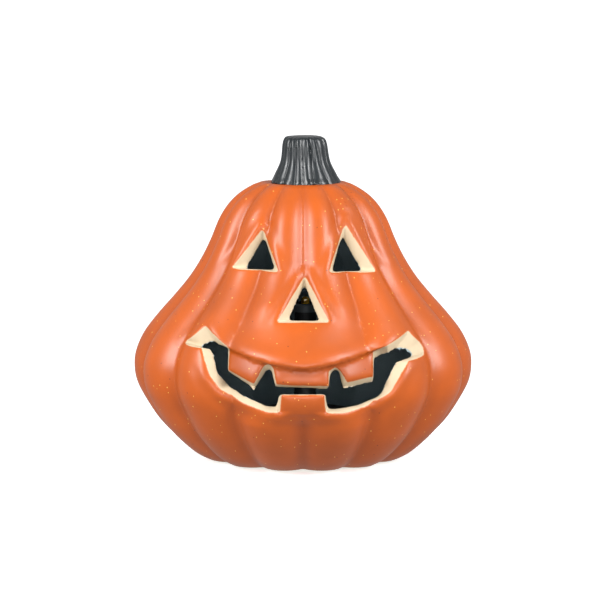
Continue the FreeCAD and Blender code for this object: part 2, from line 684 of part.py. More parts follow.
def dome_section(sketch, low):
    """Half section of a clear dome: two quarter rounds on a short straight skirt."""
    outer = value("lens_radius")
    inner = value("lens_radius - lens_wall")
    spring = value("%s + lens_height - lens_radius" % low)
    foot = value(low)
    centre = Vector(0, spring, 0)
    up = Vector(0, 0, 1)
    quarter = math.pi / 2
    sketch.addGeometry(Part.LineSegment(Vector(inner, foot, 0), Vector(outer, foot, 0)))
    sketch.addGeometry(Part.LineSegment(Vector(outer, foot, 0), Vector(outer, spring, 0)))
    sketch.addGeometry(Part.ArcOfCircle(Part.Circle(centre, up, outer), 0, quarter))
    sketch.addGeometry(Part.LineSegment(Vector(0, spring + outer, 0), Vector(0, spring + inner, 0)))
    sketch.addGeometry(Part.ArcOfCircle(Part.Circle(centre, up, inner), 0, quarter))
    sketch.addGeometry(Part.LineSegment(Vector(inner, spring, 0), Vector(inner, foot, 0)))
    joins = ((0, 2, 1, 1), (1, 2, 2, 1), (2, 2, 3, 1), (3, 2, 4, 2), (4, 1, 5, 1), (5, 2, 0, 1))
    for join in joins:
        sketch.addConstraint(Sketcher.Constraint("Coincident", *join))
    sketch.addConstraint(Sketcher.Constraint("PointOnObject", 2, 3, -2))
    sketch.addConstraint(Sketcher.Constraint("Coincident", 2, 3, 4, 3))
    sketch.addConstraint(Sketcher.Constraint("PointOnObject", 2, 2, -2))
    sketch.addConstraint(Sketcher.Constraint("PointOnObject", 4, 2, -2))
    sketch.addConstraint(Sketcher.Constraint("Vertical", 1))
    sketch.addConstraint(Sketcher.Constraint("Vertical", 5))
    sketch.addConstraint(Sketcher.Constraint("Horizontal", 0))
    sketch.addConstraint(Sketcher.Constraint("Horizontal", 2, 1, 2, 3))
    sketch.addConstraint(Sketcher.Constraint("Horizontal", 4, 1, 4, 3))
    for pin, text in (
        (Sketcher.Constraint("Radius", 2, outer), "lens_radius"),
        (Sketcher.Constraint("Radius", 4, inner), "lens_radius - lens_wall"),
        (Sketcher.Constraint("DistanceY", -1, 1, 0, 1, foot), low),
        (Sketcher.Constraint("DistanceY", -1, 1, 2, 3, spring), "%s + lens_height - lens_radius" % low),
    ):
        number = sketch.addConstraint(pin)
        sketch.setExpression("Constraints[%d]" % number, bound(text))


def write_parts():
    """Refuse a broken model, then write one file for each named sub-part."""
    doc.recompute()
    for thing in doc.Objects:
        if "Invalid" in thing.State or "Error" in thing.State:
            raise RuntimeError("%s (%s) did not compute: %s" % (thing.Name, thing.Label, thing.State))
    for thing in nodes:
        if thing.Shape.isNull() or not thing.Shape.isValid() or not thing.Shape.Solids:
            raise RuntimeError("%s has no valid solid" % thing.Label)
    os.makedirs("parts", exist_ok=True)
    for thing in nodes:
        thing.Shape.exportStep("parts/%s.step" % thing.Label)
        size = thing.Shape.BoundBox
        print("%-24s %d solids %10.1f mm3  z %.2f to %.2f" % (
            thing.Label, len(thing.Shape.Solids), thing.Shape.Volume, size.ZMin, size.ZMax))


pumpkin_shell()
pumpkin_stem()
foot_pads()
base_plate()
light_cup()
grip_ring()
fasteners()
battery_door()
battery_cells()
contacts()
switch()
board()
leads()
lamp()
write_parts()
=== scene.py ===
import math

import bpy
import numpy as np
from bpy.props import FloatProperty, FloatVectorProperty, IntProperty, PointerProperty
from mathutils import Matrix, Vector
from mathutils.bvhtree import BVHTree


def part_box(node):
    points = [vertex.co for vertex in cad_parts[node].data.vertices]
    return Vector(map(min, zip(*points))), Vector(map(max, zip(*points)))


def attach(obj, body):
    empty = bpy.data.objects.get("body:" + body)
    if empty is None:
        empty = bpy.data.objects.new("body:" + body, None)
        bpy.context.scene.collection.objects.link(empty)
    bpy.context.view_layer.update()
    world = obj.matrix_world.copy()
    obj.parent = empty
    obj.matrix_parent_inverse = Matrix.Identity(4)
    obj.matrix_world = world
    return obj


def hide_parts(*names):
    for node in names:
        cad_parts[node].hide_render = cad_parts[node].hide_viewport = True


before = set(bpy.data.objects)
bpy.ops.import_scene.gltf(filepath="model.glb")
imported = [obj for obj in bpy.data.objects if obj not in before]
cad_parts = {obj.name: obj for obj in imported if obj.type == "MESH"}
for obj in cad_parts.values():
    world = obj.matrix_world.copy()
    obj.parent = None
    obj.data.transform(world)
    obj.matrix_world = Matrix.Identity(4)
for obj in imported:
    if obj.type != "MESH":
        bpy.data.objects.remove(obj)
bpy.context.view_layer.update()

bl_info = {
    "name": "Ceramic Pumpkin Lantern",
    "version": (1, 0, 0),
    "blender": (4, 5, 0),
    "location": "3D View > Sidebar > Pumpkin",
    "description": "Models the glazed shell and stem of a ceramic pumpkin and finishes its light",
    "category": "Add Mesh",
}

MM = 0.001
SHELL_LOW, SHELL_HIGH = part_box("pumpkin_shell")
STEM_LOW, STEM_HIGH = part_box("pumpkin_stem")
FOOT = SHELL_LOW.z / MM
CROWN = SHELL_HIGH.z / MM
BELLY = SHELL_HIGH.x / MM

# The shell's half section, as (radius, height above the floor) in millimetres:
# across the foot, up over the belly and the crown, and down into the stem seat.
MERIDIAN = (
    (0, FOOT), (22, FOOT), (44, FOOT), (57, FOOT), (62.5, FOOT + 0.15), (66, FOOT + 1.4),
    (73.5, 6.5), (82.5, 14), (92, 24), (100, 36), (106.2, 48), (BELLY, 58), (107, 68),
    (101.7, 80), (92.6, 92), (82, 104), (72.2, 116), (64.6, 128), (58.7, 140), (53.8, 152),
    (48.7, 160.6), (43, 167), (36.5, 171.8), (30, CROWN - 1.8), (25, CROWN - 1), (20, CROWN - 1.8),
    (14, CROWN - 2.6), (7, CROWN - 2.8), (0, CROWN - 2.8),
)
RIBS = 14
# Depth of the grooves, as a share of the radius, by height above the floor.
GROOVE_HEIGHTS = (0, 10, 58, 110, 150, 172, 180)
GROOVE_DEPTHS = (0.11, 0.085, 0.062, 0.075, 0.095, 0.105, 0.10)
# Share of half a rib over which the bottom of a groove is rounded.
VALLEY_ROUND = 0.10

# Window outlines, as (x, height above the floor) in millimetres: where the cut
# meets the outer skin, and where it meets the inner one.
LEFT_EYE = (
    ((-25.2, 151.4), (-45.0, 126.5), (-14.9, 125.7)),
    ((-24.0, 143.9), (-34.1, 125.9), (-18.0, 126.5)),
)
RIGHT_EYE = (
    ((26.3, 154.6), (15.7, 125.7), (45.9, 124.3)),
    ((23.9, 144.0), (18.2, 125.0), (34.7, 125.0)),
)
NOSE = (
    ((1.2, 124.2), (-16.6, 97.5), (16.6, 97.6)),
    ((0.8, 116.0), (-7.7, 98.5), (8.6, 97.7)),
)
MOUTH = (
    (
        (-13.2, 56.7), (-13.8, 44.7), (-22.1, 44.9), (-36.7, 49.3), (-50.4, 56.9),
        (-57.3, 65.6), (-60.6, 74.3), (-62.4, 81.3), (-74.2, 81.4), (-60.3, 94.0),
        (-44.7, 80.9), (-45.6, 68.1), (-29.8, 61.4), (-23.6, 72.8), (-20.5, 73.9),
        (-17.9, 71.5), (-16.3, 61.9), (15.8, 60.9), (15.3, 69.6), (19.5, 71.9),
        (22.6, 69.4), (26.8, 62.6), (43.0, 64.8), (42.4, 79.2), (65.1, 90.4),
        (76.4, 77.7), (74.9, 75.0), (65.0, 73.8), (60.5, 67.3), (54.1, 56.5),
        (42.5, 48.2), (26.8, 44.2), (13.8, 44.7), (12.7, 56.8),
    ),
    (
        (-14.8, 55.5), (-17.0, 48.3), (-22.2, 48.7), (-36.8, 54.5), (-47.4, 61.6),
        (-51.7, 67.9), (-53.4, 76.7), (-55.6, 79.9), (-61.6, 80.2), (-54.6, 83.3),
        (-46.5, 79.7), (-46.4, 66.4), (-29.4, 56.5), (-22.1, 68.3), (-20.6, 69.2),
        (-19.5, 68.4), (-16.9, 59.1), (14.9, 57.9), (16.9, 67.0), (19.0, 69.4),
        (21.1, 68.8), (23.7, 57.4), (42.7, 59.4), (43.7, 73.6), (56.7, 79.3),
        (61.0, 75.9), (60.4, 74.0), (55.5, 72.6), (52.2, 66.9), (44.8, 51.7),
        (32.2, 47.6), (17.4, 46.7), (15.0, 47.6), (13.8, 55.5),
    ),
)


# ---------------------------------------------------------------- settings

def linear(code):
    """Linear colour of an sRGB hex code."""
    channels = [int(code[place:place + 2], 16) / 255 for place in (0, 2, 4)]
    return tuple(c / 12.92 if c <= 0.04045 else ((c + 0.055) / 1.055) ** 2.4 for c in channels)


def colour(label, code, about):
    return FloatVectorProperty(name=label, description=about, subtype="COLOR", size=3,
                               min=0, max=1, default=linear(code))


def length(label, value, about):
    return FloatProperty(name=label, description=about, subtype="DISTANCE", unit="LENGTH",
                         min=0, default=value * MM)


class ShellSettings(bpy.types.PropertyGroup):
    glaze: colour("Glaze", "BE550C", "Satin orange glaze")
    # The paler orange of the cut edges is thinner glaze with a painted highlight along the rim.
    thin_glaze_and_painted_highlight: colour("Thin glaze", "CC7744", "Glaze where it breaks over an edge")
    clay: colour("Clay", "CFBB9C", "Bare sanded clay of the cut edges")
    inside: colour("Inside", "8C9EA4", "Dark wash inside the shell")
    wall: length("Wall", 6.5, "Thickness of the cast wall")
    voxel: length("Voxel", 0.8, "Grain of the mesh that softens the cut edges")


class StemSettings(bpy.types.PropertyGroup):
    glaze: colour("Stem glaze", "12181B", "Gloss black glaze")
    ridges: IntProperty(name="Ridges", description="Ridges round the stem", min=6, default=17)
    ridge_depth: length("Ridge depth", 1.7, "Depth between two ridges")


class StageSettings(bpy.types.PropertyGroup):
    floor: colour("Floor", "F4F5F6", "Plain pale floor")
    floor_radius: length("Floor radius", 150, "Radius of the round floor")
    distance: length("Distance", 1650, "Camera to the middle of the figure, level")
    rise: FloatProperty(name="Rise", description="How far the camera looks down", subtype="ANGLE",
                        unit="ROTATION", default=math.radians(7.5))


# ---------------------------------------------------------------- small tools

def deselect():
    if bpy.context.object and bpy.context.object.mode != "OBJECT":
        bpy.ops.object.mode_set(mode="OBJECT")
    bpy.ops.object.select_all(action="DESELECT")


def activate(piece):
    deselect()
    piece.select_set(True)
    bpy.context.view_layer.objects.active = piece


def coordinates(piece):
    """Vertex positions in millimetres."""
    flat = np.empty(len(piece.data.vertices) * 3)
    piece.data.vertices.foreach_get("co", flat)
    return flat.reshape(-1, 3) / MM


def set_coordinates(piece, points):
    piece.data.vertices.foreach_set("co", (points * MM).ravel())
    piece.data.update()


def apply_modifier(piece, kind, **settings):
    activate(piece)
    modifier = piece.modifiers.new(kind.title(), kind)
    for name, value in settings.items():
        setattr(modifier, name, value)
    bpy.ops.object.modifier_apply(modifier=modifier.name)


def cut_away(piece, tool):
    """Cut a tool out of a piece and remove the tool."""
    before = len(piece.data.polygons)
    apply_modifier(piece, "BOOLEAN", operation="DIFFERENCE", object=tool, solver="MANIFOLD")
    bpy.data.objects.remove(tool)
    if len(piece.data.polygons) < before / 2:
        raise RuntimeError("the cut took away most of " + piece.name)


def smooth_step(value, low, high):
    """0 up to low, 1 from high on, and an even curve between."""
    share = np.clip((value - low) / (high - low), 0, 1)
    return share * share * (3 - 2 * share)


def bell(value, middle, width):
    """1 at the middle, falling off to about a third one width away."""
    return np.exp(-((value - middle) / width) ** 2)


def set_attribute(piece, name, values):
    made = piece.data.attributes.new(name, "FLOAT", "POINT")
    made.data.foreach_set("value", np.asarray(values, np.float32))


def finish_piece(piece, body, nodes, material, angle=40):
    """Give a finished piece its shading and material, hang it on its body, and hide the nodes that it
    stands for.
    """
    activate(piece)
    bpy.ops.object.shade_smooth_by_angle(angle=math.radians(angle))
    piece.data.materials.clear()
    piece.data.materials.append(material)
    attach(piece, body)
    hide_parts(*nodes)


# ---------------------------------------------------------------- materials

def add_node(tree, kind, inputs=None, output=0, **settings):
    """Add a node and give back one output. An input takes a value or the socket that feeds it."""
    made = tree.nodes.new("ShaderNode" + kind)
    for name, value in settings.items():
        setattr(made, name, value)
    for name, source in (inputs or {}).items():
        if isinstance(source, bpy.types.NodeSocket):
            tree.links.new(source, made.inputs[name])
        else:
            made.inputs[name].default_value = source
    return made.outputs[output]


# The numbers of a colour Mix node's sockets: its plain names stand for other data types.
SHARE, FIRST, SECOND, MIXED = 0, 6, 7, 2


def new_material(name, **sockets):
    """A Principled material with its plain sockets set."""
    material = bpy.data.materials.new(name)
    material.use_nodes = True
    shader = material.node_tree.nodes["Principled BSDF"]
    for socket, value in sockets.items():
        shader.inputs[socket.replace("_", " ")].default_value = value
    return material, material.node_tree, shader


def opaque(rgb, times=1):
    """A socket's colour, made lighter or darker by a factor."""
    return tuple(min(part * times, 1) for part in tuple(rgb)[:3]) + (1.0,)


def per_mm(size):
    """Texture scale that repeats every so many millimetres on Object coordinates."""
    return 1 / (size * MM)


def satin_orange_glaze(settings):
    """Satin earthenware glaze with mineral specks, sanded clay edges and a dark wash inside.

    The glaze gives broad soft highlights. It is painted paler over the cut edges, where it thins and
    where a highlight is painted along the rim, and painted shade darkens it down the grooves; the clay
    is dry and even.
    """
    material, tree, shader = new_material("satin_orange_glaze", IOR=1.55)
    place = add_node(tree, "TexCoord", output="Object")
    depth = add_node(tree, "Attribute", output="Fac", attribute_name="skin_depth")
    valley = add_node(tree, "Attribute", output="Fac", attribute_name="valley")
    gap = add_node(tree, "Attribute", output="Fac", attribute_name="hollow_gap")
    height = add_node(tree, "SeparateXYZ", {0: place}, "Z")

    # Cloudy tone of the dipped glaze, about 30 mm across, with painted shade darkening it down the
    # grooves.
    cloud = add_node(tree, "TexNoise", {"Vector": place, "Scale": per_mm(30), "Detail": 3.0})
    cloud = add_node(tree, "MapRange", {"Value": cloud, "From Min": 0.3, "From Max": 0.7})
    tone = add_node(tree, "Mix", {
        SHARE: cloud, FIRST: opaque(settings.glaze), SECOND: opaque(settings.glaze, 0.8),
    }, MIXED, data_type="RGBA")
    painted_groove_shade = add_node(tree, "Math", {0: valley, 1: 0.3}, operation="MULTIPLY")
    tone = add_node(tree, "Mix", {
        SHARE: painted_groove_shade, FIRST: tone, SECOND: opaque(linear("93400F")),
    }, MIXED, data_type="RGBA")

    # The glaze thins and stops over an edge, on a line that wanders by a fraction of a millimetre. The
    # paler band before the clay is thinner glaze with a painted highlight along the rim.
    wander = add_node(tree, "TexNoise", {"Vector": place, "Scale": per_mm(7), "Detail": 2.0})
    wander = add_node(tree, "MapRange", {
        "Value": wander, "From Min": 0.3, "From Max": 0.7, "To Min": -1.0, "To Max": 1.0,
    })
    edge = add_node(tree, "Math", {0: wander, 1: 0.06, 2: depth}, operation="MULTIPLY_ADD")
    thin_glaze_and_highlight_share = add_node(tree, "MapRange", {
        "Value": edge, "From Min": 0.12, "From Max": 0.42, "To Max": 0.7,
    })
    tone = add_node(tree, "Mix", {
        SHARE: thin_glaze_and_highlight_share, FIRST: tone, SECOND: opaque(settings.thin_glaze_and_painted_highlight),
    }, MIXED, data_type="RGBA")

    # Specks: pale ones about 5 mm apart in depth and surface, dark ones about 8 mm.
    for apart, size, code in ((4.6, 0.085, "F2BC5A"), (7.5, 0.055, "5E1E0E")):
        dot = add_node(tree, "TexVoronoi", {"Vector": place, "Scale": per_mm(apart)}, "Distance")
        dot = add_node(tree, "MapRange", {"Value": dot, "From Min": size, "From Max": size * 0.75})
        tone = add_node(tree, "Mix", {
            SHARE: dot, FIRST: tone, SECOND: opaque(linear(code)),
        }, MIXED, data_type="RGBA")

    # Bare clay on the cut faces and under the foot.
    clay = add_node(tree, "TexNoise", {"Vector": place, "Scale": per_mm(4), "Detail": 4.0})
    clay = add_node(tree, "Mix", {
        SHARE: clay, FIRST: opaque(settings.clay), SECOND: opaque(settings.clay, 0.86),
    }, MIXED, data_type="RGBA")
    cut = add_node(tree, "MapRange", {"Value": edge, "From Min": 0.42, "From Max": 0.58})
    foot = add_node(tree, "MapRange", {
        "Value": height, "From Min": (FOOT + 1.1) * MM, "From Max": (FOOT + 0.5) * MM,
    })
    bare = add_node(tree, "Math", {0: cut, 1: foot}, operation="MAXIMUM")
    skin = add_node(tree, "Mix", {SHARE: bare, FIRST: tone, SECOND: clay}, MIXED, data_type="RGBA")

    # The dark wash covers what lies within about half a wall of the hollow.
    wash = add_node(tree, "Math", {0: wander, 1: 0.04, 2: gap}, operation="MULTIPLY_ADD")
    wash = add_node(tree, "MapRange", {"Value": wash, "From Min": 0.7, "From Max": 0.5})
    skin = add_node(tree, "Mix", {
        SHARE: wash, FIRST: skin, SECOND: opaque(settings.inside),
    }, MIXED, data_type="RGBA")
    tree.links.new(skin, shader.inputs["Base Color"])

    polish = add_node(tree, "MapRange", {"Value": cloud, "To Min": 0.36, "To Max": 0.44})
    rough = add_node(tree, "Math", {0: bare, 1: 0.36, 2: polish}, operation="MULTIPLY_ADD")
    tree.links.new(rough, shader.inputs["Roughness"])
    # Orange-peel waviness of a sprayed glaze, 1.5 mm across.
    peel = add_node(tree, "TexNoise", {"Vector": place, "Scale": per_mm(1.5), "Detail": 2.0})
    bump = add_node(tree, "Bump", {"Strength": 0.12, "Distance": 0.1 * MM, "Height": peel})
    tree.links.new(bump, shader.inputs["Normal"])
    return material


def gloss_black_glaze(settings):
    """Gloss black glaze, fired thick: sharp highlights that break up on the ridges."""
    material, tree, shader = new_material("gloss_black_glaze", IOR=1.52, Coat_Weight=0.1,
                                          Coat_Roughness=0.12)
    place = add_node(tree, "TexCoord", output="Object")
    cloud = add_node(tree, "TexNoise", {"Vector": place, "Scale": per_mm(5), "Detail": 3.0})
    tone = add_node(tree, "Mix", {
        SHARE: cloud, FIRST: opaque(settings.glaze), SECOND: opaque(settings.glaze, 1.6),
    }, MIXED, data_type="RGBA")
    tree.links.new(tone, shader.inputs["Base Color"])
    rough = add_node(tree, "MapRange", {
        "Value": cloud, "From Min": 0.3, "From Max": 0.7, "To Min": 0.26, "To Max": 0.4,
    })
    tree.links.new(rough, shader.inputs["Roughness"])
    peel = add_node(tree, "TexNoise", {"Vector": place, "Scale": per_mm(2.5), "Detail": 1.0})
    bump = add_node(tree, "Bump", {"Strength": 0.06, "Distance": 0.15 * MM, "Height": peel})
    tree.links.new(bump, shader.inputs["Normal"])
    return material


def moulded_plastic(name, code, grain, roughness):
    """Injection-moulded plastic: an even colour under a fine spark-eroded grain."""
    material, tree, shader = new_material(name, IOR=1.53)
    place = add_node(tree, "TexCoord", output="Object")
    noise = add_node(tree, "TexNoise", {"Vector": place, "Scale": per_mm(grain), "Detail": 3.0})
    tone = add_node(tree, "Mix", {
        SHARE: noise, FIRST: opaque(linear(code)), SECOND: opaque(linear(code), 1.35),
    }, MIXED, data_type="RGBA")
    tree.links.new(tone, shader.inputs["Base Color"])
    rough = add_node(tree, "MapRange", {
        "Value": noise, "From Min": 0.3, "From Max": 0.7,
        "To Min": roughness - 0.06, "To Max": roughness + 0.06,
    })
    tree.links.new(rough, shader.inputs["Roughness"])
    bump = add_node(tree, "Bump", {"Strength": 0.3, "Distance": 0.06 * MM, "Height": noise})
    tree.links.new(bump, shader.inputs["Normal"])
    return material


def plated_metal(name, code, grain, roughness):
    """Bare or plated metal: bright edges, broken by fine upright drawing lines."""
    material, tree, shader = new_material(name, Metallic=1.0)
    place = add_node(tree, "TexCoord", output="Object")
    drawn = add_node(tree, "Mapping", {"Vector": place, "Scale": (1.0, 1.0, 8.0)})
    noise = add_node(tree, "TexNoise", {"Vector": drawn, "Scale": per_mm(grain), "Detail": 3.0})
    tone = add_node(tree, "Mix", {
        SHARE: noise, FIRST: opaque(linear(code)), SECOND: opaque(linear(code), 0.8),
    }, MIXED, data_type="RGBA")
    tree.links.new(tone, shader.inputs["Base Color"])
    rough = add_node(tree, "MapRange", {
        "Value": noise, "From Min": 0.3, "From Max": 0.7,
        "To Min": roughness - 0.08, "To Max": roughness + 0.08,
    })
    tree.links.new(rough, shader.inputs["Roughness"])
    return material


def clear_dome():
    """Clear acrylic dome: it bends the view of the emitter, with a faint mould ripple."""
    material, tree, shader = new_material("clear_dome", Base_Color=(0.95, 0.96, 0.95, 1),
                                          Roughness=0.06, IOR=1.49, Transmission_Weight=1.0)
    place = add_node(tree, "TexCoord", output="Object")
    noise = add_node(tree, "TexNoise", {"Vector": place, "Scale": per_mm(3), "Detail": 1.0})
    bump = add_node(tree, "Bump", {"Strength": 0.15, "Distance": 0.1 * MM, "Height": noise})
    tree.links.new(bump, shader.inputs["Normal"])
    return material


# ---------------------------------------------------------------- shape of the shell

def along(points, count):
    """Evenly spaced points on a smooth curve through the given ones, with unit normals."""
    points = np.array(points, float)
    ends = np.vstack([2 * points[0] - points[1], points, 2 * points[-1] - points[-2]])
    share = np.linspace(0, 1, 24, endpoint=False)[:, None]
    run = []
    # A Catmull-Rom curve, measured off in equal lengths afterwards.
    for first, second, third, fourth in zip(ends, ends[1:], ends[2:], ends[3:]):
        run.append(0.5 * (2 * second + (third - first) * share
                          + (2 * first - 5 * second + 4 * third - fourth) * share ** 2
                          + (3 * second - first - 3 * third + fourth) * share ** 3))
    run = np.vstack(run + [points[-1:]])
    travel = np.concatenate([[0], np.cumsum(np.linalg.norm(np.diff(run, axis=0), axis=1))])
    at = np.linspace(0, travel[-1], count)
    even = np.column_stack([np.interp(at, travel, run[:, axis]) for axis in (0, 1)])
    step = np.gradient(even, axis=0)
    step /= np.linalg.norm(step, axis=1)[:, None]
    return even, np.column_stack([step[:, 1], -step[:, 0]])


def lobe(angle, half, groove):
    """Radius of one rounded rib over its crest, for an angle from the crest's own.

    The rib is an arc of its own about a point between the axis and the crest.
    """
    edge = 1 - groove
    centre = (1 - edge ** 2) / (2 * (1 - edge * math.cos(half)))
    bow = 1 - centre
    valley = 1 - np.abs(angle) / half
    valley = np.sqrt(valley ** 2 + VALLEY_ROUND ** 2) - VALLEY_ROUND * (1 - valley)
    angle = (1 - valley) * half
    return centre * np.cos(angle) + np.sqrt(bow ** 2 - (centre * np.sin(angle)) ** 2)


def outline_distance(x, z, outline):
    """Distance outside an outline, and the number of its nearest side; negative inside."""
    outline = np.array(outline)
    nearest = np.full(x.shape, 1e9)
    side = np.zeros(x.shape, int)
    inside = np.zeros(x.shape, bool)
    for number, (start, end) in enumerate(zip(outline, np.roll(outline, -1, axis=0))):
        run = end - start
        share = np.clip(((x - start[0]) * run[0] + (z - start[1]) * run[1]) / (run @ run), 0, 1)
        gap = np.hypot(x - start[0] - share * run[0], z - start[1] - share * run[1])
        side = np.where(gap < nearest, number, side)
        nearest = np.minimum(nearest, gap)
        crosses = (start[1] > z) != (end[1] > z)
        if run[1]:
            inside ^= crosses & (x < start[0] + (z - start[1]) * run[0] / run[1])
    return np.where(inside, -nearest, nearest), side


def lip_line(x):
    """Height of the crease where the muzzle overhangs the upper teeth."""
    return 72.3 + 8.6 * np.abs(x / 44.5) ** 1.6


def face_relief(x, z):
    """How far the sculpted face stands out of the ribbed body, in millimetres."""
    out = np.zeros(x.shape)
    # How strongly the rim shows along each side of an eye or of the nose.
    for outlines, weights in ((LEFT_EYE, (1.0, 0.1, 0.6)), (RIGHT_EYE, (0.6, 0.1, 1.0)),
                              (NOSE, (1.0, 0.1, 1.0))):
        gap, side = outline_distance(x, z, outlines[0])
        foot = min(point[1] for point in outlines[0])
        weight = np.array(weights)[side] * smooth_step(z - foot, -3, 7)
        gap = np.maximum(gap, 0)
        # A raised rim along the cut, with a shallow hollow outside it.
        out += weight * (1.1 * bell(gap, 2.4, 1.9) - 0.7 * bell(gap, 6.6, 2.4))
    gap = np.maximum(outline_distance(x, z, MOUTH[0])[0], 0)
    wide = np.abs(x)
    lip = lip_line(x)
    under = smooth_step(lip - z, -0.2, 1.6) * smooth_step(52 - wide, 0, 4) * (z > 40)
    # The upper teeth end and the lower tooth stops between these two heights.
    upper = smooth_step(z, 57.5, 59.5)
    teeth = under * upper
    lower_tooth = smooth_step(16 - wide, 0, 2) * smooth_step(z, 43, 46) * (1 - upper)
    # The mouth's rim: below it all the way, and above it only round the corners.
    ring = (1 - np.maximum(teeth, lower_tooth)) * smooth_step(74 - wide, -8, 0)
    out += ring * smooth_step(76 - z, 0, 8) * (0.8 * bell(gap, 3.0, 2.4) - 0.35 * bell(gap, 8.5, 3))
    out += ring * smooth_step(wide, 46, 56) * smooth_step(z, 74, 82) * 0.7 * bell(gap, 2.4, 2.0)
    # The muzzle swells over the lip line; the teeth stand back and round off at their edges.
    out += 2.4 * bell(z - lip, 3.5, 5.5) * smooth_step(48 - wide, 0, 10) * (1 - under)
    out -= 4.6 * teeth + 1.2 * lower_tooth
    out -= (teeth + lower_tooth) * 1.1 * np.exp(-gap / 1.3)
    # A crease under the lower tooth.
    out -= 1.0 * bell(z, 42.5, 2.2) * smooth_step(17 - wide, 0, 4)
    return out * smooth_step(z, 20, 34) * (1 - smooth_step(z, 160, 168))


def skin_radius(rho, z, angle, groove):
    """Radius of the skin where the half section has radius rho, angle counted from the front."""
    half = math.pi / RIBS
    # The groove beside the left corner of the muzzle bows outward.
    angle = angle + 0.06 * bell(z, 84, 20) * bell(angle, -0.5, 0.25)
    crest = (np.floor(angle / (2 * half)) + 0.5) * 2 * half
    ribbed = lobe(angle - crest, half, groove)
    # One broad muzzle replaces the two middle ribs between the nose and the chin.
    front = np.abs(angle) < 2 * half
    muzzle = np.where(front, lobe(np.where(front, angle, 0), 2 * half, groove + 0.01), ribbed)
    muzzle = muzzle - 0.008 * bell(angle, 0, 0.05)
    share = smooth_step(z, 34, 46) * (1 - smooth_step(z, 92, 108))
    return rho * (ribbed + (muzzle - ribbed) * share)


def add_blank(name, around, rings, wall):
    """A closed ribbed body: a sphere whose rings are moved onto the half section, one wall in."""
    deselect()
    bpy.ops.mesh.primitive_uv_sphere_add(segments=around, ring_count=rings, radius=1)
    blank = bpy.context.object
    blank.name = name
    points = coordinates(blank) * MM
    angle = np.arctan2(points[:, 0], -points[:, 1])
    ring = np.rint(np.arccos(np.clip(-points[:, 2], -1, 1)) / math.pi * rings).astype(int)
    line, normal = along(MERIDIAN, rings + 1)
    place = line - normal * wall
    place[:, 0] = np.maximum(place[:, 0], 0)
    place[0, 0] = place[-1, 0] = 0
    rho, z = place[ring, 0], place[ring, 1]
    # The grooves are shallower inside, where the clay fills them.
    groove = np.interp(line[:, 1], GROOVE_HEIGHTS, GROOVE_DEPTHS) * (0.8 if wall else 1)
    groove = (groove * smooth_step(line[:, 0], 8, 30))[ring]
    radius = skin_radius(rho, z, angle, groove)
    pole = (ring == 0) | (ring == rings)
    radius = np.where(pole, 0, radius)
    set_coordinates(blank, np.column_stack([radius * np.sin(angle), -radius * np.cos(angle), z]))
    return blank


def surface_tree(piece):
    """The surface of a piece, to measure from and to cast rays at."""
    graph = bpy.context.evaluated_depsgraph_get()
    return BVHTree.FromObject(piece, graph)


def distance_to(skin, points):
    """Distance of each point from a surface, in millimetres."""
    return np.array([skin.find_nearest(Vector(point) * MM)[3] / MM for point in points])


def spaced(outlines, gap):
    """The two outlines of a window with extra points, matched one to one, about a gap apart."""
    outer, inner = (np.array(outline, float) for outline in outlines)
    rows = ([], [])
    for number in range(len(outer)):
        after = (number + 1) % len(outer)
        parts = max(1, round(np.linalg.norm(outer[after] - outer[number]) / gap))
        for part in range(parts):
            share = part / parts
            rows[0].append(outer[number] + (outer[after] - outer[number]) * share)
            rows[1].append(inner[number] + (inner[after] - inner[number]) * share)
    return np.array(rows[0]), np.array(rows[1])


def add_window_tool(outlines, outer_skin, inner_skin):
    """A flared cutter: straight in front of the shell, narrowing through the wall, straight inside."""
    outer, inner = spaced(outlines, 1.2)
    front, back = -BELLY - 12, -30.0

    def on(tree, outline):
        depths = []
        for x, z in outline:
            hit = tree.ray_cast(Vector((x * MM, front * MM, z * MM)), Vector((0, 1, 0)))
            depths.append(hit[0].y / MM)
        return np.array(depths)

    rings = (
        (outer, np.full(len(outer), front)),
        (outer, on(outer_skin, outer)),
        (inner, on(inner_skin, inner)),
        (inner, np.full(len(inner), back)),
    )
    deselect()
    bpy.ops.mesh.primitive_circle_add(vertices=len(outer), radius=1, fill_type="NGON")
    tool = bpy.context.object
    bpy.ops.object.mode_set(mode="EDIT")
    bpy.ops.mesh.select_all(action="SELECT")
    for _ in rings[1:]:
        bpy.ops.mesh.extrude_region_move(TRANSFORM_OT_translate={"value": (0, 0, 1)})
    bpy.ops.object.mode_set(mode="OBJECT")
    points = coordinates(tool) * MM
    # The circle's first point lies on +Y.
    turn = np.arctan2(points[:, 0], points[:, 1]) / (2 * math.pi) * len(outer)
    place = np.rint(turn).astype(int) % len(outer)
    level = np.rint(points[:, 2]).astype(int)
    for number, (outline, depth) in enumerate(rings):
        here = level == number
        spot = place[here]
        points[here] = np.column_stack([outline[spot, 0], depth[spot], outline[spot, 1]])
    set_coordinates(tool, points)
    bpy.ops.object.mode_set(mode="EDIT")
    bpy.ops.mesh.select_all(action="SELECT")
    bpy.ops.mesh.normals_make_consistent(inside=False)
    bpy.ops.object.mode_set(mode="OBJECT")
    return tool


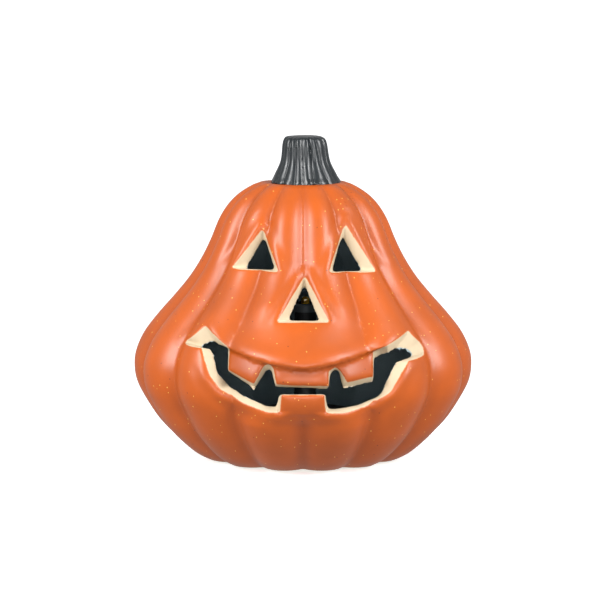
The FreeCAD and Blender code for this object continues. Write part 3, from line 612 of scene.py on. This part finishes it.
def add_base_tool():
    """The stepped hole under the shell: a recess for the flange and the hole for the light."""
    plate_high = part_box("base_plate")[1]
    cup_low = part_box("light_cup")[0]
    ring_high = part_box("grip_ring")[1]
    clearance, below, above = 0.3 * MM, 5 * MM, 8 * MM
    recess = plate_high.x + clearance
    hole = ring_high.x + clearance
    roof = cup_low.z + clearance
    deselect()
    bpy.ops.mesh.primitive_cylinder_add(vertices=128, radius=recess, depth=roof + below,
                                        location=(0, 0, (roof - below) / 2))
    tool = bpy.context.object
    bpy.ops.object.transform_apply(location=True)
    bpy.ops.object.mode_set(mode="EDIT")
    bpy.ops.mesh.select_mode(type="FACE")
    bpy.ops.mesh.select_all(action="DESELECT")
    bpy.ops.object.mode_set(mode="OBJECT")
    for face in tool.data.polygons:
        face.select = face.normal.z > 0.9
    bpy.ops.object.mode_set(mode="EDIT")
    bpy.ops.mesh.inset(thickness=recess - hole)
    bpy.ops.mesh.extrude_region_move(TRANSFORM_OT_translate={"value": (0, 0, above)})
    bpy.ops.object.mode_set(mode="OBJECT")
    return tool


# The most triangles that the shell may have.
TRIANGLES = 190000


class PUMPKIN_OT_shell(bpy.types.Operator):
    """Model the hollow ribbed shell with its cut face"""
    bl_idname = "pumpkin.shell"
    bl_label = "Shell"

    def execute(self, context):
        settings = context.scene.pumpkin_shell
        wall = settings.wall / MM
        shell = add_blank("shell", RIBS * (32), 220, 0)
        hollow = add_blank("hollow", RIBS * 14, 100, wall)
        outer_skin, inner_skin = surface_tree(shell), surface_tree(hollow)
        tools = [add_window_tool(outlines, outer_skin, inner_skin)
                 for outlines in (LEFT_EYE, RIGHT_EYE, NOSE, MOUTH)]
        for tool in [hollow] + tools + [add_base_tool()]:
            cut_away(shell, tool)
        voxel = settings.voxel * 1.0
        apply_modifier(shell, "REMESH", mode="VOXEL", voxel_size=voxel)
        apply_modifier(shell, "SMOOTH", factor=0.5, iterations=4)
        triangles = sum(len(face.vertices) - 2 for face in shell.data.polygons)
        apply_modifier(shell, "DECIMATE", ratio=min(1, TRIANGLES / triangles))
        depth = distance_to(outer_skin, coordinates(shell))
        set_attribute(shell, "skin_depth", depth)
        # What lies below the skin is smoothed more, so that the cuts' inner edges run clean.
        below = shell.vertex_groups.new(name="below_the_skin")
        below.add(np.flatnonzero(depth > 2.0).tolist(), 1.0, "REPLACE")
        apply_modifier(shell, "SMOOTH", factor=0.5, iterations=10, vertex_group=below.name)
        points = coordinates(shell)
        set_attribute(shell, "hollow_gap", distance_to(inner_skin, points))
        # The face is pressed into the whole wall, so that its thickness stays even.
        away = points[:, :2] / np.maximum(np.hypot(points[:, 0], points[:, 1]), 1)[:, None]
        front = smooth_step(-away[:, 1], 0.1, 0.4)
        points[:, 1] -= front * face_relief(points[:, 0], points[:, 2])
        set_coordinates(shell, points)
        apply_modifier(shell, "SMOOTH", factor=0.5, iterations=1)
        points = coordinates(shell)
        # How far a point lies down a groove, from 0 on the crests' own outline to 1. The glaze paints
        # shade into the grooves by this value.
        line = along(MERIDIAN, 400)[0]
        side = line[line[:, 0] > 24]
        rho = np.interp(points[:, 2], side[:, 1], side[:, 0])
        groove = np.interp(points[:, 2], GROOVE_HEIGHTS, GROOVE_DEPTHS)
        sunk = 1 - np.hypot(points[:, 0], points[:, 1]) / rho
        set_attribute(shell, "valley", smooth_step(sunk / groove, 0.45, 0.95))
        finish_piece(shell, "pumpkin", ["pumpkin_shell"],
                     satin_orange_glaze(settings), 80)
        return {"FINISHED"}


# ---------------------------------------------------------------- stem

# The stem's silhouette, as (radius, height) shares of its base radius and of
# its height above the seat.
STEM_LINE = (
    (0, -0.01), (0.75, -0.01), (0.97, 0.0), (1.0, 0.035), (0.955, 0.12), (0.87, 0.25), (0.79, 0.36),
    (0.725, 0.47), (0.69, 0.58), (0.668, 0.7), (0.645, 0.82), (0.61, 0.91), (0.545, 0.965),
    (0.4, 0.99), (0.2, 1.0), (0, 1.0),
)


class PUMPKIN_OT_stem(bpy.types.Operator):
    """Model the ridged black stem"""
    bl_idname = "pumpkin.stem"
    bl_label = "Stem"

    def execute(self, context):
        settings = context.scene.pumpkin_stem
        seat = CROWN - 3.0
        tall = STEM_HIGH.z / MM - seat
        middle = (STEM_LOW.x + STEM_HIGH.x) / 2 / MM
        wide = (STEM_HIGH.x - STEM_LOW.x) / 2 / MM
        rings = 120
        deselect()
        bpy.ops.mesh.primitive_uv_sphere_add(segments=settings.ridges * 18, ring_count=rings, radius=1)
        stem = bpy.context.object
        stem.name = "stem"
        points = coordinates(stem) * MM
        angle = np.arctan2(points[:, 0], -points[:, 1])
        ring = np.rint(np.arccos(np.clip(-points[:, 2], -1, 1)) / math.pi * rings).astype(int)
        line = along([(radius * wide, share * tall) for radius, share in STEM_LINE], rings + 1)[0]
        rho, z = line[ring, 0], line[ring, 1]
        share = z / tall
        # Ridges of uneven width lean a little and fade out on the cut top.
        lean = (angle + 0.10 * share + 0.06 * np.sin(3 * angle + 1.0)
                + 0.035 * np.sin(7 * angle + 4 * share))
        wave = np.abs(np.sin(lean * settings.ridges / 2)) ** 0.8
        uneven = 0.75 + 0.35 * np.sin(5 * angle + 0.6) * np.cos(2 * angle)
        fade = smooth_step(rho, wide * 0.25, wide * 0.6)
        radius = rho - settings.ridge_depth / MM * (1 - wave) * uneven * fade
        z = z + 0.3 * np.sin(3 * angle + 0.5) * smooth_step(share, 0.9, 1.0) * fade
        # The flared skirt rides up over the crown's ribs.
        skirt = smooth_step(0.2 - share, 0, 0.16) * smooth_step(rho, wide * 0.7, wide * 0.95)
        z = z + skirt * (0.4 + 0.8 * np.abs(np.sin(angle * RIBS / 2)) + 0.3 * np.sin(5 * angle))
        pole = (ring == 0) | (ring == rings)
        radius = np.where(pole, 0, np.maximum(radius, 0))
        shift = middle + 0.35 - 0.9 * share
        set_coordinates(stem, np.column_stack([
            shift + radius * np.sin(angle), -radius * np.cos(angle), seat + z]))
        finish_piece(stem, "pumpkin", ["pumpkin_stem"],
                     gloss_black_glaze(settings), 75)
        return {"FINISHED"}


# ---------------------------------------------------------------- carried-over nodes

class PUMPKIN_OT_light(bpy.types.Operator):
    """Finish the pieces of the plug-in light and the pads"""
    bl_idname = "pumpkin.light"
    bl_label = "Light and pads"

    def execute(self, context):
        finishes = {
            # Housings: a dark even satin with a fine grain in the highlights.
            moulded_plastic("black_abs", "1C1D1E", 0.5, 0.5): (
                "base_plate", "light_cup", "battery_door", "lamp_mast"),
            moulded_plastic("grey_abs", "4A4E51", 0.6, 0.42): ("bulb_collar",),
            moulded_plastic("white_abs", "D8D8D2", 0.6, 0.45): ("switch_knob",),
            # Foam: dull, with no highlight.
            moulded_plastic("black_eva_foam", "242424", 0.35, 0.85): ("foot_pads", "grip_ring"),
            # Circuit board and its parts: green solder mask, dull black epoxy, shiny insulation.
            moulded_plastic("green_laminate", "1F6B38", 0.4, 0.4): ("circuit_board", "led_board"),
            moulded_plastic("black_epoxy", "141414", 0.3, 0.55): (
                "timer_chip", "board_resistors", "board_capacitor"),
            moulded_plastic("red_pvc", "A31515", 0.5, 0.4): ("led_lead_red",),
            moulded_plastic("black_pvc", "151515", 0.5, 0.4): ("led_lead_black", "switch_leads"),
            # The unlit emitter shows as a warm yellow dot.
            moulded_plastic("yellow_phosphor", "E8B01E", 0.4, 0.35): ("led_emitter",),
            # Metals: cool grey zinc, warm brass, pale nickel and the cells' plain jacket.
            plated_metal("zinc_plated_steel", "B9BCC0", 0.5, 0.32): (
                "base_screws", "board_screws", "door_screw", "door_hinge_pin", "switch_body"),
            plated_metal("turned_brass", "C9A050", 0.4, 0.3): ("door_screw_insert",),
            plated_metal("nickel_strip", "C4C1B8", 0.5, 0.28): (
                "contact_plate_negative", "contact_plate_positive",
                "contact_bridges", "contact_leaves"),
            plated_metal("cell_jacket", "8E9499", 0.6, 0.35): (
                "battery_cell_1", "battery_cell_2", "battery_cell_3"),
            clear_dome(): ("bulb_lens",),
        }
        for material, names in finishes.items():
            for name in names:
                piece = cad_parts[name]
                piece.data.materials.clear()
                piece.data.materials.append(material)
        return {"FINISHED"}


# ---------------------------------------------------------------- stage

def add_softbox(name, place, target, size, power):
    """A rectangular lamp that faces the target; sizes in metres, power in watts."""
    deselect()
    bpy.ops.object.light_add(type="AREA", location=place)
    lamp = bpy.context.object
    lamp.name = name
    lamp.data.shape = "RECTANGLE"
    lamp.data.size, lamp.data.size_y = size
    lamp.data.energy = power
    lamp.rotation_euler = (Vector(target) - Vector(place)).to_track_quat("-Z", "Y").to_euler()


class PUMPKIN_OT_stage(bpy.types.Operator):
    """Set the floor, the studio light and the camera"""
    bl_idname = "pumpkin.stage"
    bl_label = "Stage"

    def execute(self, context):
        settings = context.scene.pumpkin_stage
        deselect()
        # The floor is a disc, so that the light still shows below its edge when it is drawn out.
        bpy.ops.mesh.primitive_circle_add(vertices=96, radius=settings.floor_radius, fill_type="NGON")
        floor = bpy.context.object
        floor.name = "floor"
        bpy.ops.mesh.primitive_uv_sphere_add(radius=15, location=(0, 0, 0.1))
        backdrop = bpy.context.object
        backdrop.name = "backdrop"
        # White paper that glows a little: soft pale shadows on the floor, none on the backdrop.
        for piece, name, glow in ((floor, "floor_paper", 0.62), (backdrop, "backdrop_paper", 1.0)):
            material, tree, shader = new_material(
                name, Roughness=0.9, Base_Color=opaque(settings.floor), Emission_Strength=glow,
                Emission_Color=opaque(settings.floor))
            piece.data.materials.append(material)
            piece.visible_diffuse = False
            piece.visible_glossy = False
            if piece == floor:
                # The paper is only there from above: the base stays in sight from below.
                behind = add_node(tree, "NewGeometry", output="Backfacing")
                above = add_node(tree, "Math", {0: 1.0, 1: behind}, operation="SUBTRACT")
                tree.links.new(above, shader.inputs["Alpha"])
        backdrop.visible_shadow = False
        backdrop.visible_transmission = False
        world = context.scene.world or bpy.data.worlds.new("studio")
        context.scene.world = world
        world.use_nodes = True
        sky = world.node_tree.nodes["Background"]
        sky.inputs["Color"].default_value = (1.0, 1.0, 1.0, 1)
        sky.inputs["Strength"].default_value = 0.46
        middle = (0, 0, 0.1)
        add_softbox("left_softbox", (-1.2, -0.78, 0.95), middle, (0.5, 1.1), 28)
        add_softbox("right_softbox", (1.2, -0.78, 0.95), middle, (0.5, 1.1), 28)
        add_softbox("front_fill", (0, -2.3, 0.3), middle, (1.8, 0.5), 22)
        # The camera looks at the middle of the figure, a little off its axis.
        aim = Vector((-1.9 * MM, 0, 100.2 * MM))
        away = Vector((0, -settings.distance, settings.distance * math.tan(settings.rise)))
        bpy.ops.object.camera_add(location=aim + away)
        camera = bpy.context.object
        camera.rotation_euler = (-away).to_track_quat("-Z", "Y").to_euler()
        # Focal length that frames this width at the figure's distance.
        framed = 383.8 * MM
        camera.data.sensor_width = 36
        camera.data.lens = camera.data.sensor_width * away.length / framed
        camera.data.clip_end = 40
        context.scene.camera = camera
        context.scene.view_settings.view_transform = "Standard"
        return {"FINISHED"}


class PUMPKIN_PT_panel(bpy.types.Panel):
    bl_label = "Ceramic pumpkin"
    bl_idname = "PUMPKIN_PT_panel"
    bl_space_type = "VIEW_3D"
    bl_region_type = "UI"
    bl_category = "Pumpkin"

    def draw(self, context):
        for place, _ in SETTINGS:
            group = getattr(context.scene, place)
            box = self.layout.box()
            for name in group.__annotations__:
                box.prop(group, name)
        for operator in OPERATORS:
            self.layout.operator(operator.bl_idname)


SETTINGS = (
    ("pumpkin_shell", ShellSettings),
    ("pumpkin_stem", StemSettings),
    ("pumpkin_stage", StageSettings),
)
OPERATORS = (PUMPKIN_OT_shell, PUMPKIN_OT_stem, PUMPKIN_OT_light, PUMPKIN_OT_stage)


def register():
    for name, group in SETTINGS:
        bpy.utils.register_class(group)
        setattr(bpy.types.Scene, name, PointerProperty(type=group))
    for item in OPERATORS + (PUMPKIN_PT_panel,):
        bpy.utils.register_class(item)


def unregister():
    for item in (PUMPKIN_PT_panel,) + OPERATORS[::-1]:
        bpy.utils.unregister_class(item)
    for name, group in SETTINGS[::-1]:
        delattr(bpy.types.Scene, name)
        bpy.utils.unregister_class(group)


def main():
    register()
    bpy.ops.pumpkin.shell()
    bpy.ops.pumpkin.stem()
    bpy.ops.pumpkin.light()
    bpy.ops.pumpkin.stage()


if __name__ == "__main__":
    main()
